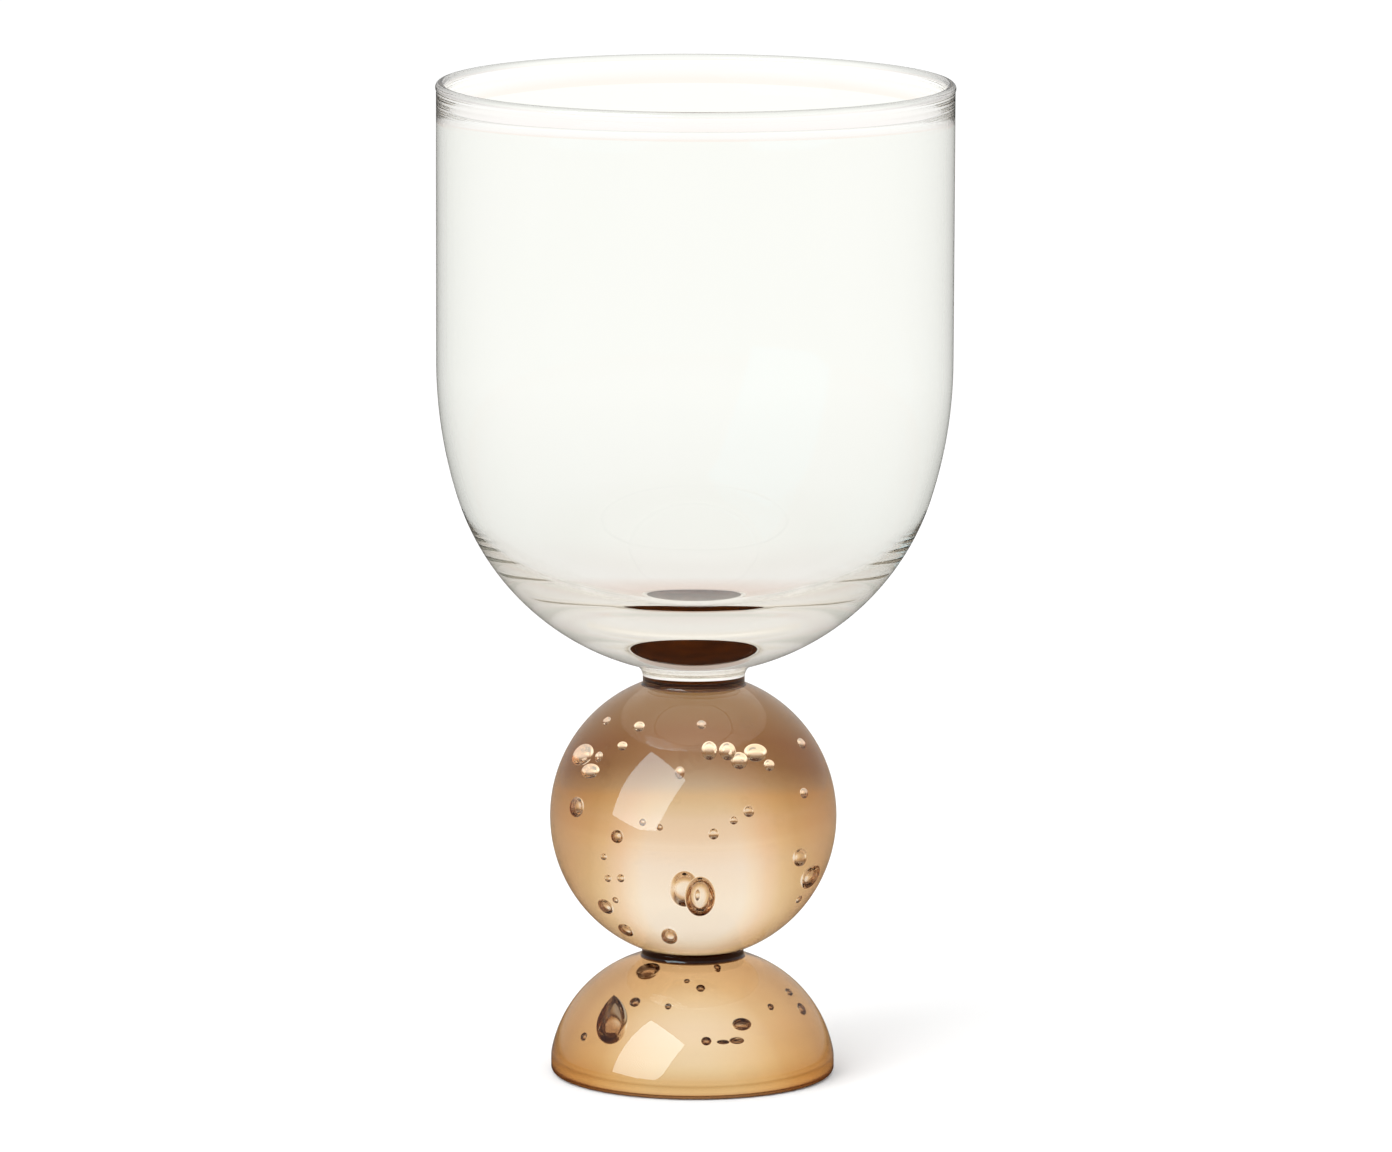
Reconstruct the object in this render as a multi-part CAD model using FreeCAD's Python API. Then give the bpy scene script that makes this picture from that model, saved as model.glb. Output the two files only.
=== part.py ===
import FreeCAD, Part
import math
import os
from collections import namedtuple

# Stemmed glass goblet, millimetres, Z up, origin at the middle of the face that it stands on.
# A clear bowl sits on an amber glass ball, and the ball sits on an amber domed foot.
# The three pieces meet on flat round joints. Air bubbles are sealed in the ball and the foot.

# Stem joints
JOINT_RADIUS = 8.7

# Bowl, outside, with its sweeps in proportion to its radius
BOWL_HEIGHT = 101.9
BOWL_RADIUS = 43.9
SIDE_SWEEP = 1.75 * BOWL_RADIUS
SIDE_SWEEP_ANGLE = 17.4
BASE_SWEEP = 0.993 * BOWL_RADIUS
BOWL_NECK_FILLET = 2.53

# Bowl, inside: an even wall down to a corner, where it thickens into the base
WALL = 1.4
BASE_THICKNESS = 0.2255 * BOWL_RADIUS
CORNER_SWEEP = 0.615 * BOWL_RADIUS
FLOOR_SWEEP = 1.64 * BOWL_RADIUS

# Fire-polished bead round the rim
BEAD_RADIUS = 0.95

# Ball
BALL_RADIUS = 24.5
LOWER_COLLAR = 0.85
UPPER_COLLAR = 1.2
COLLAR_FILLET = 0.6

# Foot, a little narrower than the ball, with its sweeps in proportion to its radius
FOOT_INSET = 0.25
FOOT_RADIUS = BALL_RADIUS - FOOT_INSET
FOOT_EDGE_FILLET = 1.0
FOOT_LAND = 2.5
FOOT_SIDE_SWEEP = 0.309 * FOOT_RADIUS
FOOT_SIDE_ANGLE = 12.0
FOOT_DOME_SWEEP = 0.8825 * FOOT_RADIUS
FOOT_NECK_FILLET = 0.7

# A bubble in the ball. Azimuth and elevation are degrees about the ball's centre, seen from the front (-Y):
# azimuth 0 is towards the front and 90 to the right. Reach is its distance as a share of the ball's radius.
BallBubble = namedtuple("BallBubble", "azimuth elevation reach width height")

# A bubble in the foot. Reach is a share of the foot's radius and level a share of its height.
FootBubble = namedtuple("FootBubble", "azimuth reach level width height")

# The loose cluster high in the ball, left of the middle
UPPER_LEFT = [
    BallBubble(-76, 48, 0.82, 1.5, 1.5),
    BallBubble(-85, 59, 0.55, 1.5, 1.4),
    BallBubble(7, 58, 0.76, 1.5, 1.5),
    BallBubble(-81, 45, 0.53, 1.4, 1.2),
    BallBubble(-61, 32.5, 0.79, 1.4, 1.7),
    BallBubble(-8, 32, 0.72, 1.5, 2.0),
]

# The row of close bubbles high in the ball, right of the middle
UPPER_ROW = [
    BallBubble(27, 64, 0.42, 2.1, 2.6),
    BallBubble(38, 53, 0.505, 2.3, 2.6),
    BallBubble(56, 48, 0.435, 2.3, 2.3),
    BallBubble(85, 46, 0.45, 3.0, 2.2),
    BallBubble(65, 34.5, 0.555, 1.6, 1.6),
]

# Bubbles out on the two sides of the ball
SIDES = [
    BallBubble(-75, 30, 0.815, 4.6, 3.3),
    BallBubble(-73, 25, 0.675, 3.1, 2.0),
    BallBubble(-65, 8, 0.80, 3.0, 3.1),
    BallBubble(79, 35, 0.82, 1.8, 1.8),
    BallBubble(63, 15, 0.79, 1.6, 1.6),
    BallBubble(81, -20, 0.59, 2.2, 2.4),
    BallBubble(72, -24, 0.82, 4.5, 3.8),
    BallBubble(71, -35, 0.82, 1.3, 1.3),
]

# Bubbles across the middle of the ball
MIDDLE = [
    BallBubble(50, 10, 0.39, 1.5, 1.5),
    BallBubble(38, 4, 0.35, 1.1, 1.1),
    BallBubble(20, -8, 0.32, 1.4, 1.5),
    BallBubble(-26, 6, 0.72, 1.1, 1.1),
    BallBubble(-17, 4, 0.71, 1.0, 1.0),
    BallBubble(-39, -2, 0.75, 2.1, 2.1),
]

# Bubbles low in the ball, with the one large pair in front
LOWER = [
    BallBubble(-70, -21, 0.53, 0.9, 0.9),
    BallBubble(-70, -33, 0.56, 1.0, 1.0),
    BallBubble(-62, -35, 0.52, 1.1, 1.1),
    BallBubble(-46, -34, 0.80, 1.1, 1.1),
    BallBubble(-56, -38, 0.82, 2.8, 2.7),
    BallBubble(-55, -53, 0.82, 2.5, 2.8),
    BallBubble(-19, -57, 0.81, 2.5, 3.5),
    BallBubble(-9, -50, 0.45, 3.9, 4.9),
    BallBubble(4, -32, 0.75, 4.7, 6.7),
]

BALL_BUBBLES = UPPER_LEFT + UPPER_ROW + SIDES + MIDDLE + LOWER

FOOT_BUBBLES = [
    FootBubble(-52, 0.373, 0.81, 4.0, 3.9),
    FootBubble(-37, 0.64, 0.66, 1.9, 1.7),
    FootBubble(-15, 0.63, 0.65, 1.1, 1.1),
    FootBubble(-5, 0.45, 0.81, 1.0, 0.9),
    FootBubble(6, 0.51, 0.77, 1.5, 1.4),
    FootBubble(31, 0.32, 0.86, 1.2, 2.4),
    FootBubble(84, 0.59, 0.56, 1.4, 1.3),
    FootBubble(49, 0.69, 0.61, 1.2, 1.2),
    FootBubble(74, 0.74, 0.52, 1.9, 2.2),
    FootBubble(30, 0.63, 0.477, 3.1, 1.9),
    FootBubble(-60, 0.83, 0.36, 1.4, 1.4),
]

# A thin streak of three bubbles low in the foot
FOOT_STREAK = [
    FootBubble(7, 0.75, 0.41, 1.7, 1.4),
    FootBubble(15.5, 0.757, 0.40, 2.1, 0.5),
    FootBubble(24.5, 0.685, 0.375, 2.4, 0.9),
]

# The one large tear-shaped bubble in the foot, with its point upwards
TEAR_AZIMUTH = -50.5
TEAR_REACH = 0.676
TEAR_LEVEL = 0.505
TEAR_WIDTH = 5.4
TEAR_HEIGHT = 9.0
TEAR_BELLY_LEVEL = 0.38
TEAR_LEAN = 7.0

CENTRE = FreeCAD.Vector(0, 0, 0)
UP = FreeCAD.Vector(0, 0, 1)
BACK = FreeCAD.Vector(0, 1, 0)


def point(radius, height):
    """A point of a turned outline: its distance from the axis and its height."""
    return FreeCAD.Vector(radius, 0, height)


def foot_dome_centre():
    """The middle of the foot's dome arc, which runs on from the arc of its side."""
    turn = math.radians(FOOT_SIDE_ANGLE)
    outset = FOOT_DOME_SWEEP - FOOT_SIDE_SWEEP
    side = point(FOOT_RADIUS - FOOT_SIDE_SWEEP, FOOT_LAND)
    return side - point(outset * math.cos(turn), outset * math.sin(turn))


def foot_top():
    """The height of the joint on the foot: where the neck's fillet, outside the dome, turns upright."""
    centre = foot_dome_centre()
    across = JOINT_RADIUS + FOOT_NECK_FILLET - centre.x
    return centre.z + math.sqrt((FOOT_DOME_SWEEP + FOOT_NECK_FILLET) ** 2 - across**2)


FOOT_TOP = foot_top()
BALL_RISE = math.sqrt(BALL_RADIUS**2 - JOINT_RADIUS**2)
BALL_CENTRE = FOOT_TOP + LOWER_COLLAR + BALL_RISE
BALL_TOP = BALL_CENTRE + BALL_RISE + UPPER_COLLAR
RIM_TOP = BALL_TOP + BOWL_HEIGHT


def line(start, end):
    """A straight edge of an outline."""
    return Part.LineSegment(start, end).toShape()


def arc(centre, radius, start_angle, end_angle):
    """An edge round centre from one angle to another, in degrees from the outward direction."""
    ends = []
    for angle in (start_angle, (start_angle + end_angle) / 2, end_angle):
        turn = math.radians(angle)
        ends.append(centre + point(radius * math.cos(turn), radius * math.sin(turn)))
    return Part.Arc(*ends).toShape()


def turned(edges):
    """The solid made by turning a closed outline round the goblet's axis."""
    wire = Part.Wire(Part.__sortEdges__(edges))
    return Part.Face(wire).revolve(CENTRE, UP, 360)


def bowl_centres():
    """The middles of three arcs outside the bowl: its side, its base and the fillet at its joint."""
    side = point(BOWL_RADIUS - SIDE_SWEEP, 0)
    sweep = math.radians(SIDE_SWEEP_ANGLE)
    inset = SIDE_SWEEP - BASE_SWEEP
    base = side + point(inset * math.cos(sweep), -inset * math.sin(sweep))
    fillet = point(JOINT_RADIUS + BOWL_NECK_FILLET, BALL_TOP)
    drop = math.sqrt((BASE_SWEEP + BOWL_NECK_FILLET) ** 2 - (fillet.x - base.x) ** 2)
    lift = point(0, BALL_TOP + drop - base.z)
    return side + lift, base + lift, fillet


def direction(start, end):
    """The angle of the way from one point of an outline to another, in degrees from outward."""
    way = end - start
    return math.degrees(math.atan2(way.z, way.x))


def bowl_outside(wall_top):
    """The edges outside the bowl, from the middle of its joint up to the foot of the rim's bead."""
    side, base, fillet = bowl_centres()
    fillet_angle = direction(fillet, base)
    return [
        line(point(0, BALL_TOP), point(JOINT_RADIUS, BALL_TOP)),
        arc(fillet, BOWL_NECK_FILLET, 180, fillet_angle),
        arc(base, BASE_SWEEP, fillet_angle - 180, -SIDE_SWEEP_ANGLE),
        arc(side, SIDE_SWEEP, -SIDE_SWEEP_ANGLE, 0),
        line(point(BOWL_RADIUS, side.z), point(BOWL_RADIUS, wall_top)),
    ]


def bowl_inside(wall_top):
    """The edges of the cavity, from the foot of the rim's bead down to the middle of its floor."""
    side, base, _ = bowl_centres()
    inner_radius = BOWL_RADIUS - WALL
    floor_top = point(0, BALL_TOP + BASE_THICKNESS)
    floor = floor_top + point(0, FLOOR_SWEEP)

    # The corner's middle is the third point of a triangle over the middles of the base and the floor
    apart = (floor - base).Length
    base_gap = BASE_SWEEP - WALL - CORNER_SWEEP
    floor_gap = FLOOR_SWEEP - CORNER_SWEEP
    turn = math.acos((base_gap**2 + apart**2 - floor_gap**2) / (2 * base_gap * apart))
    corner_angle = direction(base, floor) - math.degrees(turn)
    way = math.radians(corner_angle)
    corner = base + point(base_gap * math.cos(way), base_gap * math.sin(way))
    floor_angle = direction(floor, corner)
    return [
        line(point(inner_radius, wall_top), point(inner_radius, side.z)),
        arc(side, SIDE_SWEEP - WALL, 0, -SIDE_SWEEP_ANGLE),
        arc(base, BASE_SWEEP - WALL, -SIDE_SWEEP_ANGLE, corner_angle),
        arc(corner, CORNER_SWEEP, corner_angle, floor_angle),
        arc(floor, FLOOR_SWEEP, floor_angle, -90),
        line(floor_top, point(0, BALL_TOP)),
    ]


def bowl():
    """The clear bowl: a turned shell with a thick base, a beaded rim and a flat joint below."""
    half_wall = WALL / 2
    bead_centre = point(BOWL_RADIUS - half_wall, RIM_TOP - BEAD_RADIUS)
    bead_angle = math.degrees(math.acos(half_wall / BEAD_RADIUS))
    wall_top = bead_centre.z - math.sqrt(BEAD_RADIUS**2 - half_wall**2)
    bead = arc(bead_centre, BEAD_RADIUS, -bead_angle, 180 + bead_angle)
    return turned(bowl_outside(wall_top) + [bead] + bowl_inside(wall_top))


def spheroid(width, height, centre):
    """A bubble of the given width and height, standing upright at centre."""
    if math.isclose(width, height):
        return Part.makeSphere(width / 2, centre)
    sphere = Part.makeSphere(width / 2)
    stretch = FreeCAD.Matrix()
    stretch.scale(1, 1, height / width)
    return sphere.transformGeometry(stretch).translated(centre)


def ball_bubble(bubble):
    """One bubble of the ball, placed by its two angles and its reach."""
    turn = math.radians(bubble.azimuth)
    rise = math.radians(bubble.elevation)
    reach = bubble.reach * BALL_RADIUS
    across = reach * math.cos(rise)
    place = FreeCAD.Vector(across * math.sin(turn), -across * math.cos(turn), reach * math.sin(rise))
    return spheroid(bubble.width, bubble.height, place + point(0, BALL_CENTRE))


def ball():
    """The amber ball: a sphere with a short collar and a flat joint above and below."""
    centre = point(0, BALL_CENTRE)
    across = JOINT_RADIUS + COLLAR_FILLET
    rise = math.sqrt((BALL_RADIUS + COLLAR_FILLET) ** 2 - across**2)
    angle = math.degrees(math.atan2(rise, across))
    upper = centre + point(across, rise)
    lower = centre + point(across, -rise)
    bottom = point(JOINT_RADIUS, FOOT_TOP)
    top = point(JOINT_RADIUS, BALL_TOP)
    body = turned([
        line(point(0, FOOT_TOP), bottom),
        line(bottom, lower - point(COLLAR_FILLET, 0)),
        arc(lower, COLLAR_FILLET, 180, 180 - angle),
        arc(centre, BALL_RADIUS, -angle, angle),
        arc(upper, COLLAR_FILLET, 180 + angle, 180),
        line(upper - point(COLLAR_FILLET, 0), top),
        line(top, point(0, BALL_TOP)),
        line(point(0, BALL_TOP), point(0, FOOT_TOP)),
    ])
    return body.cut([ball_bubble(bubble) for bubble in BALL_BUBBLES])


def foot_place(azimuth, reach, level):
    """A point in the foot from its angle and its shares of the radius and height."""
    turn = math.radians(azimuth)
    across = reach * FOOT_RADIUS
    return FreeCAD.Vector(across * math.sin(turn), -across * math.cos(turn), level * FOOT_TOP)


def tear():
    """The large tear-shaped bubble: a round belly that draws in to a point at the top and leans to the left."""
    centre = foot_place(TEAR_AZIMUTH, TEAR_REACH, TEAR_LEVEL)
    bottom = centre - point(0, TEAR_HEIGHT / 2)
    top = centre + point(0, TEAR_HEIGHT / 2)
    belly = bottom + point(TEAR_WIDTH / 2, TEAR_BELLY_LEVEL * TEAR_HEIGHT)
    shoulder = bottom + point(TEAR_WIDTH / 4, 0.8 * TEAR_HEIGHT)
    curve = Part.BSplineCurve()
    curve.interpolate(Points=[bottom, belly, shoulder, top], InitialTangent=point(1, 0), FinalTangent=point(-0.5, 1))
    edge = curve.toShape()
    bubble = Part.Face(Part.Wire([edge, line(top, bottom)])).revolve(centre, UP, 360)
    bubble.rotate(centre, BACK, -TEAR_LEAN)
    return bubble


def foot():
    """The amber foot: a dome on a short upright edge, drawn in to a flat joint under the ball."""
    rounded = FOOT_RADIUS - FOOT_EDGE_FILLET
    dome_centre = foot_dome_centre()
    neck_centre = point(JOINT_RADIUS + FOOT_NECK_FILLET, FOOT_TOP)
    to_neck = neck_centre - dome_centre
    dome_end = math.degrees(math.atan2(to_neck.z, to_neck.x))
    body = turned([
        line(CENTRE, point(rounded, 0)),
        arc(point(rounded, FOOT_EDGE_FILLET), FOOT_EDGE_FILLET, -90, 0),
        line(point(FOOT_RADIUS, FOOT_EDGE_FILLET), point(FOOT_RADIUS, FOOT_LAND)),
        arc(point(FOOT_RADIUS - FOOT_SIDE_SWEEP, FOOT_LAND), FOOT_SIDE_SWEEP, 0, FOOT_SIDE_ANGLE),
        arc(dome_centre, FOOT_DOME_SWEEP, FOOT_SIDE_ANGLE, dome_end),
        arc(neck_centre, FOOT_NECK_FILLET, 180 + dome_end, 180),
        line(point(JOINT_RADIUS, FOOT_TOP), point(0, FOOT_TOP)),
        line(point(0, FOOT_TOP), CENTRE),
    ])
    bubbles = [spheroid(b.width, b.height, foot_place(b.azimuth, b.reach, b.level)) for b in FOOT_BUBBLES + FOOT_STREAK]
    return body.cut(bubbles + [tear()])


def main():
    """Build the three pieces and write each one to its own file."""
    os.makedirs("parts", exist_ok=True)
    for name, shape in (("bowl", bowl()), ("stem_ball", ball()), ("foot", foot())):
        print(name, shape.isValid(), len(shape.Solids), shape.Volume)
        shape.exportStep(os.path.join("parts", name + ".step"))


if __name__ == "__main__":
    main()
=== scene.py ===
import logging
import math
from dataclasses import dataclass
from enum import Enum

import bpy
import numpy as np
from mathutils import Matrix, Vector


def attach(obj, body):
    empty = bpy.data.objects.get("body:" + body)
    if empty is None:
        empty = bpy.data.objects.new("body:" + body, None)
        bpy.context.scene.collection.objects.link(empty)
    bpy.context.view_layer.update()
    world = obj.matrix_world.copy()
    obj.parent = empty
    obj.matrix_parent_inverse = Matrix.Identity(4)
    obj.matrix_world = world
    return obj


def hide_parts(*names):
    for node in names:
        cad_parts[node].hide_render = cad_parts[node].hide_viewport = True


# A goblet of three glass pieces: a clear bowl, an amber ball for its stem and an amber domed foot.
# Sizes in the classes are in millimetres, and a mesh is scaled to metres when it is made.

LOG = logging.getLogger("goblet")
MM = 0.001
BODY = "root"

# How far the ball's two flat ends reach into the bowl and the foot, so that light crosses the fused joints
# unbent, and how near two spots of an outline may be before one is dropped
FUSED = 0.02
SAME_SPOT = 1e-5

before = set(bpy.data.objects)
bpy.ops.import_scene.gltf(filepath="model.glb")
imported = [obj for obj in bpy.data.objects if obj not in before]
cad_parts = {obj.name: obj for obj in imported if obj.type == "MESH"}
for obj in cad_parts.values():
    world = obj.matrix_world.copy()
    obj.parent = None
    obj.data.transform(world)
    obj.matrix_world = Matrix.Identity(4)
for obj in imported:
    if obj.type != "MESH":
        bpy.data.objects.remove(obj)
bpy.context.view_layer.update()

Spot = tuple[float, float]
Outline = list[Spot]
Face = tuple[int, ...]
Colour = tuple[float, float, float]
Tones = tuple[tuple[float, Colour], ...]

NO_TONES: Tones = ((0.0, (1.0, 1.0, 1.0)), (1.0, (1.0, 1.0, 1.0)))
# Painted shade for the foot: browner and darker where light leaves it at a slant, towards its sides
FOOT_SLANT_SHADE: Tones = (
    (0.03, (1.0, 1.0, 1.0)),
    (0.042, (1.0, 0.93, 0.82)),
    (0.065, (0.95, 0.79, 0.60)),
    (0.096, (0.84, 0.60, 0.35)),
    (0.132, (0.66, 0.38, 0.16)),
    (0.176, (0.56, 0.28, 0.10)),
    (0.25, (0.40, 0.18, 0.06)),
)
PAINTED_MARK_INPUTS = {"Place": "Vector", "Facing": "Float", "Leaving": "Float"}


class Glass(Enum):
    """The two glasses of the goblet, by their material slots."""

    CLEAR = "clear_glass"
    AMBER = "amber_glass"


class Surface(Enum):
    """Where a closed surface of a glass piece lies, by its place in the piece's list of materials."""

    OUTSIDE = 0
    BUBBLE = 1


def arc(centre: Spot, radius: float, start: float, end: float, steps: int) -> Outline:
    """Points along a round stretch of an outline.

    Args:
        centre: Distance from the axis and height of the arc's middle.
        radius: The arc's radius.
        start: First angle in degrees, from the outward direction.
        end: Last angle in degrees.
        steps: How many chords the arc takes.

    Returns:
        The points from start to end, both included.
    """
    turns = [math.radians(start + (end - start) * i / steps) for i in range(steps + 1)]
    return [(centre[0] + radius * math.cos(t), centre[1] + radius * math.sin(t)) for t in turns]


def straight(start: Spot, end: Spot, steps: int) -> Outline:
    """Points along a straight stretch of an outline.

    Args:
        start: The first point.
        end: The last point.
        steps: How many equal lengths the stretch is parted into.

    Returns:
        The points from start to end, both included.
    """
    shares = [i / steps for i in range(steps + 1)]
    return [(start[0] + (end[0] - start[0]) * s, start[1] + (end[1] - start[1]) * s) for s in shares]


def swept(corners: tuple[Spot, Spot, Spot, Spot], steps: int) -> Outline:
    """Points along a curve drawn by its two ends and the two points that it leaves and arrives towards.

    Args:
        corners: The start, the point it leaves towards, the point it arrives from, and the end.
        steps: How many chords the curve takes.

    Returns:
        The points from start to end, both included.
    """
    points = []
    for i in range(steps + 1):
        t = i / steps
        shares = ((1 - t) ** 3, 3 * t * (1 - t) ** 2, 3 * t**2 * (1 - t), t**3)
        across = sum(s * c[0] for s, c in zip(shares, corners))
        up = sum(s * c[1] for s, c in zip(shares, corners))
        points.append((across, up))
    return points


def direction(start: Spot, end: Spot) -> float:
    """The angle of the way from one spot of an outline to another, in degrees from outward.

    Args:
        start: Where the way starts.
        end: Where it leads.

    Returns:
        The angle in degrees.
    """
    return math.degrees(math.atan2(end[1] - start[1], end[0] - start[0]))


def circle(radius: float, height: float, count: int) -> list[Vector]:
    """Points round the upright axis.

    Args:
        radius: Their distance from the axis.
        height: Their height.
        count: How many there are.

    Returns:
        The points, anticlockwise as seen from above.
    """
    turns = [2 * math.pi * k / count for k in range(count)]
    return [Vector((radius * math.cos(t), radius * math.sin(t), height)) for t in turns]


@dataclass
class Skin:
    """One closed surface of a piece, in millimetres."""

    points: list[Vector]
    faces: list[Face]
    surface: Surface = Surface.OUTSIDE

    def moved(self, place: Matrix) -> "Skin":
        """The same surface after a move, turn or stretch.

        Args:
            place: The move.

        Returns:
            The moved surface.
        """
        return Skin([place @ p for p in self.points], self.faces, self.surface)

    def as_bubble(self) -> "Skin":
        """The same surface as the wall of a hollow, with its faces turned towards the hollow."""
        return Skin(self.points, [tuple(reversed(side)) for side in self.faces], Surface.BUBBLE)


@dataclass
class Turned:
    """A closed surface made by turning an outline round the upright axis."""

    segments: int = 256

    def build(self, outline: Outline) -> Skin:
        """Turn an outline that starts and ends on the axis.

        Args:
            outline: Distances from the axis and heights, from the lower end round to the upper end.

        Returns:
            The closed surface.
        """
        rings = [p for i, p in enumerate(outline) if i == 0 or math.dist(p, outline[i - 1]) > SAME_SPOT]
        points = [Vector((0, 0, rings[0][1]))]
        for radius, height in rings[1:-1]:
            points += circle(radius, height, self.segments)
        points.append(Vector((0, 0, rings[-1][1])))
        faces: list[Face] = []
        last = len(points) - 1
        count = len(rings) - 2
        for k in range(self.segments):
            after = (k + 1) % self.segments
            faces.append((0, 1 + after, 1 + k))
            for ring in range(count - 1):
                low = 1 + ring * self.segments
                high = low + self.segments
                faces.append((low + k, low + after, high + after, high + k))
            top = 1 + (count - 1) * self.segments
            faces.append((top + k, top + after, last))
        return Skin(points, faces)

    def build_ring(self, outline: Outline) -> Skin:
        """Turn a closed outline that keeps off the axis.

        Args:
            outline: Distances from the axis and heights, going round with the inside on the left.

        Returns:
            The closed ring.
        """
        points = []
        faces: list[Face] = []
        count = len(outline)
        for k in range(self.segments):
            turn = 2 * math.pi * k / self.segments
            points += [
                Vector((across * math.cos(turn), across * math.sin(turn), up)) for across, up in outline
            ]
            start = k * count
            next_start = (k + 1) % self.segments * count
            for i in range(count):
                j = (i + 1) % count
                faces.append((start + i, next_start + i, next_start + j, start + j))
        return Skin(points, faces)


@dataclass
class Bubbles:
    """The round air bubbles sealed in a glass piece, read from the piece's solid and made smooth."""

    node: str
    not_round: int = 1
    around: int = 40
    up: int = 24

    def shells(self) -> list[np.ndarray]:
        """The points of each closed shell of the node's mesh that is a round bubble.

        Returns:
            Arrays of points in metres. The largest shells, the piece's outside among them, are left out.
        """
        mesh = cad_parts[self.node].data
        co = np.array([v.co for v in mesh.vertices])
        _, same = np.unique(np.round(co, 7), axis=0, return_inverse=True)
        same = same.reshape(-1)
        parent = list(range(same.max() + 1))

        def root(i: int) -> int:
            """The point that stands for point i's shell.

            Args:
                i: The point's number.

            Returns:
                The number of the point that stands for its shell.
            """
            while parent[i] != i:
                parent[i] = parent[parent[i]]
                i = parent[i]
            return i

        for edge in mesh.edges:
            a, b = (root(int(same[v])) for v in edge.vertices)
            parent[a] = b
        roots = np.array([root(int(s)) for s in same])
        groups = [co[roots == r] for r in np.unique(roots)]
        groups.sort(key=lambda g: float(np.ptp(g, axis=0).max()))
        return groups[:-self.not_round]

    def build(self) -> list[Skin]:
        """A smooth upright spheroid for each bubble.

        Returns:
            The walls of the bubbles.
        """
        ball = Turned(self.around).build(arc((0, 0), 1, -90, 90, self.up)).as_bubble()
        made = []
        for shell in self.shells():
            low, high = shell.min(0) / MM, shell.max(0) / MM
            size = Matrix.Diagonal(Vector((*(high - low) / 2, 1)))
            made.append(ball.moved(Matrix.Translation(Vector((low + high) / 2)) @ size))
        return made


@dataclass
class Tear:
    """The large tear-shaped bubble in the foot, with its point upwards."""

    azimuth: float = -50.5
    reach: float = 16.393
    height_above: float = 10.509
    width: float = 5.4
    height: float = 9.0
    belly: float = 0.38
    lean: float = 7.0
    bottom_pull: float = 0.6
    belly_pull: float = 0.4
    tip_width: float = 0.16
    tip_drop: float = 0.3

    def outline(self) -> Outline:
        """The tear's section, about its middle.

        Returns:
            The points from its round bottom to its point.
        """
        half = self.width / 2
        top = self.height / 2
        low = -top
        belly = low + self.belly * self.height
        below = (half, low + self.belly_pull * (belly - low))
        above = (half, belly + self.belly_pull * (top - belly))
        tip = (self.tip_width * self.width, top - self.tip_drop * half)
        return (
            swept(((0, low), (self.bottom_pull * half, low), below, (half, belly)), 24)
            + swept(((half, belly), above, tip, (0, top)), 30)
        )

    def build(self) -> Skin:
        """The wall of the tear.

        Returns:
            The wall, in its place in the foot.
        """
        turn = math.radians(self.azimuth)
        place = Vector((self.reach * math.sin(turn), -self.reach * math.cos(turn), self.height_above))
        lean = Matrix.Rotation(math.radians(-self.lean), 4, "Y")
        return Turned(64).build(self.outline()).as_bubble().moved(Matrix.Translation(place) @ lean)


@dataclass
class Foot:
    """The amber dome that the goblet stands on."""

    joint_radius: float = 8.7
    radius: float = 24.25
    edge_fillet: float = 1.0
    land: float = 2.5
    side_sweep: float = 7.493
    side_angle: float = 12.0
    dome_sweep: float = 21.401
    neck_fillet: float = 0.7

    def dome_centre(self) -> Spot:
        """The middle of the dome's arc, in line with the arc of the side.

        Returns:
            Its distance from the axis and its height.
        """
        turn = math.radians(self.side_angle)
        outset = self.dome_sweep - self.side_sweep
        across = self.radius - self.side_sweep - outset * math.cos(turn)
        return (across, self.land - outset * math.sin(turn))

    def top(self) -> float:
        """The height of the joint under the ball.

        Returns:
            The height above the base.
        """
        across, up = self.dome_centre()
        reach = self.joint_radius + self.neck_fillet - across
        return up + math.sqrt((self.dome_sweep + self.neck_fillet) ** 2 - reach**2)

    def outline(self) -> Outline:
        """The foot's section.

        Returns:
            The points from the middle of its base to the middle of its joint.
        """
        centre = self.dome_centre()
        top = self.top()
        neck = (self.joint_radius + self.neck_fillet, top)
        dome_end = direction(centre, neck)
        rounded = self.radius - self.edge_fillet
        return (
            straight((0, 0), (rounded, 0), 8)
            + arc((rounded, self.edge_fillet), self.edge_fillet, -90, 0, 14)
            + straight((self.radius, self.edge_fillet), (self.radius, self.land), 3)
            + arc((self.radius - self.side_sweep, self.land), self.side_sweep, 0, self.side_angle, 8)
            + arc(centre, self.dome_sweep, self.side_angle, dome_end, 60)
            + arc(neck, self.neck_fillet, 180 + dome_end, 180, 10)
            + straight((self.joint_radius, top), (0, top), 4)
        )

    def build(self) -> list[Skin]:
        """The dome's outside, its round bubbles and its tear."""
        outside = Turned().build(self.outline())
        return [outside, *Bubbles("foot", not_round=2).build(), Tear().build()]


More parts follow.
